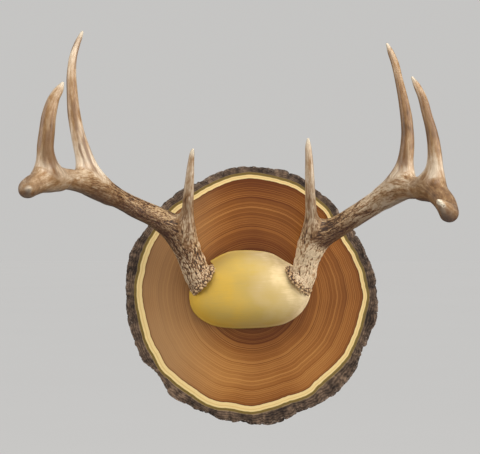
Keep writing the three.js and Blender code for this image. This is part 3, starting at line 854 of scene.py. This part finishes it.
def nearest_on(line, points):
    """For each point: its distance from a limb's surface, the way out, and its length and angle on it."""
    lengths = lengths_along(line)
    frames = limb_frames(line)
    out = np.empty((len(points), 6))
    for start in range(0, len(points), 6000):
        some = points[start:start + 6000]
        squares = (some ** 2).sum(1)[:, None] - 2 * some @ line[:, :3].T + (line[:, :3] ** 2).sum(1)
        nearest = np.argmin(squares, axis=1)
        best = np.full(len(some), np.inf)
        held = np.zeros((len(some), 6))
        for shift in (-1, 0):
            first = np.clip(nearest + shift, 0, len(line) - 2)
            one, two = line[first], line[first + 1]
            step = two[:, :3] - one[:, :3]
            t = np.clip(((some - one[:, :3]) * step).sum(1) / (step ** 2).sum(1), 0, 1)[:, None]
            centre = one + (two - one) * t
            away = some - centre[:, :3]
            distance = np.linalg.norm(away, axis=1)
            gap = distance - centre[:, 3]
            way = away / distance[:, None]
            angle = np.arctan2((way * frames[2][first]).sum(1), (way * frames[1][first]).sum(1))
            length = lengths[first] + (lengths[first + 1] - lengths[first]) * t[:, 0]
            values = np.column_stack([gap, way, length, angle])
            held[gap < best] = values[gap < best]
            best = np.minimum(best, gap)
        out[start:start + 6000] = held
    return out


def merge_surfaces(near, far, width):
    """Two distances as one smooth surface: the joint distance, and the share of the second."""
    share = np.clip(0.5 + 0.5 * (near - far) / width, 0, 1)
    return near + (far - near) * share - width * share * (1 - share), share


def knob_places(beam, seed):
    """The pearls of the burr: centres and radii in two staggered rows."""
    random = np.random.default_rng(seed)
    along, aside, upward = limb_frames(beam)
    knobs = []
    for place, reach, size in ((2.0, BURR_REACH, 2.1), (5.0, BURR_REACH - 1.5, 1.9)):
        index = int(np.searchsorted(lengths_along(beam), place))
        for k in range(BURR_KNOBS):
            angle = (k + (place > 5) * 0.5 + random.uniform(-0.22, 0.22)) / BURR_KNOBS * TURN
            radius = size * random.uniform(0.6, 1.25)
            out = reach - radius - random.uniform(0, 1.6)
            ring = math.cos(angle) * aside[index] + math.sin(angle) * upward[index]
            shift = random.uniform(-1.1, 1.1) * along[index]
            knobs.append((*(beam[index, :3] + ring * out + shift), radius))
    return np.array(knobs)


def relaxed(points, edges):
    """Points moved half way to the middle of their neighbours."""
    middle = np.zeros_like(points)
    for one, other in ((edges[:, 0], edges[:, 1]), (edges[:, 1], edges[:, 0])):
        for axis in range(3):
            middle[:, axis] += np.bincount(one, points[other, axis], len(points))
    neighbours = np.bincount(edges.ravel(), minlength=len(points))
    return points + (middle / neighbours[:, None] - points) / 2


def pull(values, where, goal, share):
    """Moves some of the values a share of the way to a goal."""
    values[where] += (goal - values[where]) * share


def antler_skin(side, limbs, wear, seed):
    """One antler's mesh, with the marks that its finish reads."""
    name = f"{side}_antler"
    lines = {limb: rounded_tip(limb_line(points)) for limb, points in limbs.items()}
    knobs = knob_places(lines["beam"], seed)
    parts = [limb_tube(f"{name}_{limb}", line) for limb, line in lines.items()]
    for *centre, radius in (knobs * MM).tolist():
        bpy.ops.mesh.primitive_ico_sphere_add(subdivisions=2, radius=radius, location=centre)
        parts.append(bpy.context.object)
    points, faces = grown_together(name, parts, SKIN_VOXEL)

    # Draws the skin onto the limbs' surfaces, with a smooth web at each fork.
    base, way = lines["beam"][0, :3], limb_frames(lines["beam"])[0][0]
    corners = np.array([face for face in faces if len(face) == 4])
    edges = np.stack([corners, np.roll(corners, -1, axis=1)], axis=2).reshape(-1, 2)
    edges = np.unique(np.sort(edges, axis=1), axis=0)
    for _ in range(3):
        for _ in range(4):
            clear = smooth_step(10, 16, (points - base) @ way)[:, None]
            points = points + (relaxed(points, edges) - points) * clear
        found = nearest_on(lines["beam"], points)
        gap, out = found[:, 0], found[:, 1:4]
        for limb in ("brow", "second", "third"):
            other = nearest_on(lines[limb], points)
            gap, share = merge_surfaces(gap, other[:, 0], FORK_BLEND)
            out = out * (1 - share)[:, None] + other[:, 1:4] * share[:, None]
        slope = np.linalg.norm(out, axis=1)
        out /= slope[:, None]
        gap /= np.maximum(slope, 0.6)
        behind = (points - base) @ way
        near_burr = np.flatnonzero(behind < BURR_ZONE)
        for x, y, z, radius in knobs:
            away = points[near_burr] - (x, y, z)
            distance = np.linalg.norm(away, axis=1)
            gap[near_burr], share = merge_surfaces(gap[near_burr], distance - radius, KNOB_BLEND)
            blended = out[near_burr] * (1 - share)[:, None] + away / distance[:, None] * share[:, None]
            out[near_burr] = blended / np.linalg.norm(blended, axis=1)[:, None]
        points = points - out * (gap * smooth_step(0.4, 2.0, behind))[:, None]

    # Raises pearls and grooves along the grain of each limb, and notes what the finish needs to know of them.
    found = {limb: nearest_on(line, points) for limb, line in lines.items()}
    nearest_gap = np.min([values[:, 0] for values in found.values()], axis=0)
    marks = {mark: np.zeros(len(points)) for mark in ("relief", "pale", "polish", "blotch", "coarse", "tine")}
    height, total, most = np.zeros(len(points)), np.zeros(len(points)), np.zeros(len(points))
    grain_place = np.zeros((len(points), 3))
    for index, (limb, line) in enumerate(lines.items()):
        place, angle = found[limb][:, 4], found[limb][:, 5]
        length = lengths_along(line)[-1]
        share = np.exp(-np.maximum(found[limb][:, 0] - nearest_gap, 0) / 3.0)
        along_line = np.linspace(0, length, len(line))
        radius = np.interp(place, along_line, line[:, 3])
        grain = np.column_stack([radius * np.cos(angle), radius * np.sin(angle), place + 500 * index])
        grain += rough(points / 24, seed + 70)[:, None] * [2, 2, 6]
        grain_place[share > most] = grain[share > most]
        most = np.maximum(most, share)
        roughness = np.interp(place, *zip(*wear[limb]["rough"].items()))
        pearled = smooth_step(110, 10, place) * (limb == "beam")
        pearled += smooth_step(50, 0, place) * (limb == "brow") * 0.7
        near, second = cells(grain / [2.4, 2.4, 7.0], seed)
        pearls = smooth_step(0.8, 0.2, near) * smooth_step(0.0, 0.22, second - near)
        ridge = 1 - 2.6 * np.abs(rough(grain / [3.2, 3.2, 30], seed + 20, 2))
        groove = smooth_step(0.08, 0.0, np.abs(rough(grain / [7, 7, 60], seed + 25, 2)))
        fine = rough(grain / [1.8, 1.8, 12], seed + 30, 2)
        relief = pearled * (1.5 * pearls - 0.75)
        relief += (1 - 0.5 * pearled) * (0.55 * ridge + 0.35 * fine - 0.8 * groove)
        lumps = rough(grain / [14, 14, 30], seed + 40, 2)
        reach, shine = wear[limb]["tip"]
        tip = smooth_step(length - reach * 1.6, length, place)
        noted = {
            "relief": relief * (1 - tip), "polish": tip * shine, "tine": float(limb in ("second", "third")),
            "pale": np.interp(place, *zip(*wear[limb]["pale"].items())), "coarse": roughness,
            "blotch": rough(grain / [6, 6, 38], seed + 60, 2)}
        for mark, value in noted.items():
            marks[mark] += share * value
        height += share * (0.75 * relief * roughness + 0.5 * lumps) * (1 - tip)
        total += share
    marks = {mark: values / total for mark, values in marks.items()}
    height /= total
    marks["fork"] = 1 - most / total

    # Beads crowd the collar above the burr.
    behind = (points - base) @ way
    near_burr = np.flatnonzero(behind < BURR_ZONE)
    near, second = cells(points[near_burr] / 2.5, seed + 50)
    beads = 1.6 * smooth_step(0.85, 0.3, near) * smooth_step(0.0, 0.25, second - near) - 0.75
    collar = smooth_step(17, 9, behind[near_burr])
    pull(height, near_burr, 0.6 * beads, collar)
    pull(marks["relief"], near_burr, beads, collar)

    # The burr's pearls are smooth, pale on top and dark where they meet.
    near, second = np.full(len(near_burr), 9.0), np.full(len(near_burr), 9.0)
    for x, y, z, radius in knobs:
        away = np.linalg.norm(points[near_burr] - (x, y, z), axis=1) / radius
        second = np.minimum(second, np.maximum(near, away))
        near = np.minimum(near, away)
    on_knob = smooth_step(1.7, 1.15, near)
    knob_relief = 1.9 * smooth_step(0.0, 0.4, second - near) * smooth_step(1.35, 0.95, near) - 1.15
    knob_relief += 0.5 * rough(points[near_burr] / 2.0, seed + 80, 2)
    for mark, goal in (("relief", knob_relief), ("pale", 0.30), ("fork", 0.5)):
        pull(marks[mark], near_burr, goal, on_knob)
    pull(height, near_burr, 0.9 * rough(points[near_burr] / 2.4, seed + 90, 2), on_knob)
    height *= smooth_step(0.0, 3.0, behind)
    marks["under"] = np.clip(-out[:, 2], -1, 1)
    if PORE[side]:
        tip, pore = np.array(limbs["beam"][-1][:3]), np.array(PORE[side])
        along_patch = np.clip((points - tip) @ (pore - tip) / ((pore - tip) ** 2).sum(), 0, 1)[:, None]
        from_patch = np.linalg.norm(points - tip - (pore - tip) * along_patch, axis=1)
        from_pore = np.linalg.norm(points - pore, axis=1)
        height -= 1.2 * smooth_step(1.4, 0.4, from_pore)
        marks["relief"] -= 5 * smooth_step(1.3, 0.8, from_pore)
        marks["coarse"] += smooth_step(1.5, 0.9, from_pore)
        marks["polish"] += smooth_step(2.6, 1.6, from_patch) * smooth_step(0.9, 1.4, from_pore) * 0.7
    antler = piece_from(name, points + out * height[:, None], faces, marks)
    antler.data.attributes.new("grain", "FLOAT_VECTOR", "POINT").data.foreach_set(
        "vector", grain_place.astype(np.float32).ravel())
    return antler


bone = Finish("antler_bone", IOR=1.45, Coat_Weight=0.15, Coat_Roughness=0.28)
relief, pale, polish, blotch, coarse, tine, under, fork = map(
    bone.mark, ("relief", "pale", "polish", "blotch", "coarse", "tine", "under", "fork"))
grain = bone.node("ShaderNodeAttribute", {"attribute_name": "grain"}, out="Vector")
GROOVE_BROWN = (0.036, 0.016, 0.008)
BEAM_BROWN = (0.185, 0.097, 0.040)
STREAK_TAN = (0.50, 0.355, 0.190)
STAIN_BROWN = (0.165, 0.080, 0.034)
BONE_TAN = (0.38, 0.224, 0.104)
BONE_CREAM = (0.80, 0.69, 0.54)
UNDER_STAIN_AND_SHADE = (0.070, 0.025, 0.016)
BASE_STAIN = (1.0, 0.88, 0.70)
TIP_IVORY = (0.64, 0.57, 0.45)
fleck = bone.noise(1100, 3)
cloud = bone.noise(110, 4)
crossing = bone.noise(420, 3, stretch=(1, 1, 0.4)) - 0.5
own = fork.step(0.44, 0.30)
streak, hair_streak, long_patch = (
    (bone.noise(1, detail, stretch=stretch, where=grain) - 0.5) * own
    for detail, stretch in ((3, (0.42, 0.42, 0.05)), (2, (1.0, 1.0, 0.16)), (2, (0.15, 0.15, 0.022))))
pearl_place = bone.node("ShaderNodeVectorMath", {"operation": "MULTIPLY"}, {0: grain, 1: (0.85, 0.85, 0.30)})
pearl_reach = bone.node("ShaderNodeTexVoronoi", sockets={"Vector": pearl_place, "Scale": 1.0}, out="Distance")
pearled = coarse.step(0.35, 0.95) * own
pearl = (0.48 - pearl_reach) * pearled
tone = (relief * coarse * 0.54 + pearl * 0.95 + (streak * 1.2 + hair_streak * 1.6) * (coarse * 0.9 + 0.08)
        + crossing * (1 - own) * coarse * 1.3 + long_patch * 0.5 + (fleck - 0.5) * 0.10 + (cloud - 0.5) * 0.25
        + (pale - 0.4) * 0.55 + coarse * 0.08 + 0.44)
brown = bone.ramp(tone, (0.14, GROOVE_BROWN), (0.40, BEAM_BROWN), (0.78, STREAK_TAN))
cream = bone.ramp(tone, (0.10, GROOVE_BROWN), (0.26, STAIN_BROWN), (0.46, BONE_TAN), (0.76, BONE_CREAM))
stained = (blotch * 1.8 + (cloud - 0.5) * 0.9 - (pale - 0.6) * 1.2).step(0.0, 0.7) * tine
cream = bone.blend(stained * 0.8, cream, STAIN_BROWN)
antler_colour = bone.blend((pale + (cloud - 0.5) * 0.35).step(0.05, 0.75), brown, cream)
antler_colour = bone.blend(coarse.step(0.45, 1.0) * 0.7, antler_colour, BASE_STAIN, "MULTIPLY")
# Downward-facing parts of the beams darken to red brown: partly a real stain, partly painted shade.
stained_and_shaded_under = under.step(-0.1, 0.75) * (1 - tine) * (1 - pale) * 0.9
antler_colour = bone.blend(stained_and_shaded_under, antler_colour, UNDER_STAIN_AND_SHADE)
antler_colour = bone.blend((polish + (cloud - 0.5) * 0.3).step(0.1, 0.9), antler_colour, TIP_IVORY)
bone.paint(
    Base_Color=antler_colour,
    Roughness=0.33 + coarse * 0.15 + (cloud - 0.5) * 0.15,
    Normal=bone.bumps((fleck * 0.4 + hair_streak * 0.6) * coarse + pearl * 2.2, 0.0004))

for side, limbs, wear, seed in (("left", LEFT_LIMBS, LEFT_WEAR, 3), ("right", RIGHT_LIMBS, RIGHT_WEAR, 8)):
    antler = antler_skin(side, limbs, wear, seed)
    antler.data.materials.append(bone.material)
    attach(antler, "root")
    for node in ("beam_base", "beam_middle", "beam_upper", "beam_tip",
                 "brow_tine", "second_tine", "third_tine"):
        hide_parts(f"{side}_{node}")

# ==== The cover ====
# A dome of brass sheet, pressed and satin brushed, slips over the skull plate and is held by adhesive. It is
# notched to clear the burrs, and its cut edge is rolled a little outward.

COVER_SHEET, COVER_INSET = 1.5, 0.3
LIP_RADIUS = 0.8
cover_low, cover_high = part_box("skull_cover")
COVER_RIM = cover_high.y / MM
COVER_DEPTH = COVER_RIM - cover_low.y / MM
COVER_STEPS, COVER_RINGS = 288, 36
outer_skin = dome_loops(COVER_INSET, COVER_DEPTH, COVER_RIM, COVER_RINGS, COVER_STEPS)[::-1]
inner_skin = dome_loops(COVER_SHEET, COVER_DEPTH - COVER_SHEET, COVER_RIM, COVER_RINGS, COVER_STEPS)
outward = outer_skin[-1] - [0, COVER_RIM, COVER_CENTRE_Z]
outward /= np.linalg.norm(outward, axis=1)[:, None]
lip = [outer_skin[-1] + outward * LIP_RADIUS * math.cos(a) + [0, LIP_RADIUS * (math.sin(a) - 1), 0]
       for a in np.linspace(-math.pi / 2, math.pi / 2, 9)]
cover = lofted("brass_cover", [*outer_skin[:-1], *lip, *inner_skin])
cut_away(cover, slot_cutters(0, 8))
cover.data.shade_smooth()
cover.data.set_sharp_from_angle(angle=math.radians(40))

brass = Finish("satin_brass", Metallic=1.0, Coat_Weight=0.15, Coat_Roughness=0.6)
brushing = brass.noise(180, 4, stretch=(0.2, 1, 8))
cross_brushing = brass.noise(160, 3, stretch=(7, 1, 0.3))
tarnish = brass.noise(26, 4)
BRASS_ORANGE = (0.80, 0.59, 0.115)
BRASS_YELLOW = (0.71, 0.57, 0.215)
BRASS_WORN_AND_SHEEN = (0.75, 0.635, 0.37)
BRASS_PALE = (0.96, 0.86, 0.63)
# Over random tarnish and brushing, the tone pales steadily towards the right and a little upward: a painted
# reflection of lamp light.
tarnish_and_sheen_tone = tarnish * 0.5 + brushing * 0.16 + brass.place("X") * 3.6 + brass.place("Z") * 0.8 + 0.18
brass.paint(
    Base_Color=brass.ramp(
        tarnish_and_sheen_tone, (0.25, BRASS_ORANGE), (0.5, BRASS_YELLOW), (0.64, BRASS_WORN_AND_SHEEN), (0.76, BRASS_PALE)),
    Roughness=0.84 + (brushing - 0.5) * 0.10 + (tarnish - 0.5) * 0.08,
    Normal=brass.bumps(brushing * 0.5 + cross_brushing * 0.5, 0.00004))
cover.data.materials.append(brass.material)
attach(cover, "root")
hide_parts("skull_cover")

# ==== Floor, light and camera ====
# A pale floor well below the mount, a pale room, soft lamps above and to both sides, and a camera in front.

FLOOR_Z, FLOOR_REACH = -0.75, 30
floor_corners = np.array([[-1, -1, 0], [1, -1, 0], [1, 1, 0], [-1, 1, 0]]) * FLOOR_REACH + [0, 0, FLOOR_Z]
floor = piece_from("floor", floor_corners / MM, [[0, 1, 2, 3]])
screed = Finish("pale_floor", Roughness=0.9, Specular_IOR_Level=0.1, Emission_Strength=1.0)
floor_tone = screed.noise(0.8, 2)
floor_ray = screed.node("ShaderNodeLightPath", out="Is Camera Ray")
FLOOR_DARK, FLOOR_LIGHT = (0.28, 0.275, 0.27), (0.30, 0.295, 0.29)
FLOOR_GLOW, UNLIT = (0.50, 0.495, 0.485), (0, 0, 0)
floor.data.materials.append(screed.paint(
    Base_Color=screed.ramp(floor_tone, (0.3, FLOOR_DARK), (0.7, FLOOR_LIGHT)),
    Emission_Color=screed.blend(floor_ray, UNLIT, FLOOR_GLOW)))

room = bpy.data.worlds.new("pale_room")
room_wiring = Wiring(room)
ROOM_SEEN, ROOM_LIGHT = (0.56, 0.555, 0.545), (0.20, 0.20, 0.20)
room_ray = room_wiring.node("ShaderNodeLightPath", out="Is Camera Ray")
room_tone = room_wiring.blend(room_ray, ROOM_LIGHT, ROOM_SEEN)
room_wiring.join(room_tone, room_wiring.tree.nodes["Background"].inputs["Color"])
bpy.context.scene.world = room


def aimed(name, data, place, aim):
    """Puts a lamp or a camera at a place, facing a point."""
    holder = placed(name, data)
    holder.location = place
    holder.rotation_euler = (Vector(aim) - Vector(place)).to_track_quat("-Z", "Y").to_euler()
    return holder


WARM = (1.0, 0.94, 0.87)
# The place, aim, size and watts of each square soft lamp.
LAMPS = {"top_lamp": ((0.25, -0.70, 1.3), (0, -0.1, 0), 1.5, 20),
         "left_lamp": ((-1.4, -0.55, 0.35), (0, -0.15, 0.1), 1.2, 12),
         "right_lamp": ((1.4, -0.7, 0.30), (0, -0.15, 0.1), 1.3, 18),
         "front_lamp": ((0.6, -2.2, 0.1), (0, 0, 0), 1.6, 15)}
for name, (place, aim, size, watts) in LAMPS.items():
    light = bpy.data.lights.new(name, "AREA")
    light.size, light.energy, light.color = size, watts, WARM
    aimed(name, light, place, aim)

PICTURE_WIDTH = 480
FOCAL_IN_PIXELS = 1393
camera = bpy.data.cameras.new("camera")
camera.sensor_width = 36
camera.lens = FOCAL_IN_PIXELS / PICTURE_WIDTH * camera.sensor_width
bpy.context.scene.camera = aimed("camera", camera, (0.020, -1.700, 0.085), (-0.012, -0.030, 0.0816))
bpy.context.scene.view_settings.view_transform = "Standard"
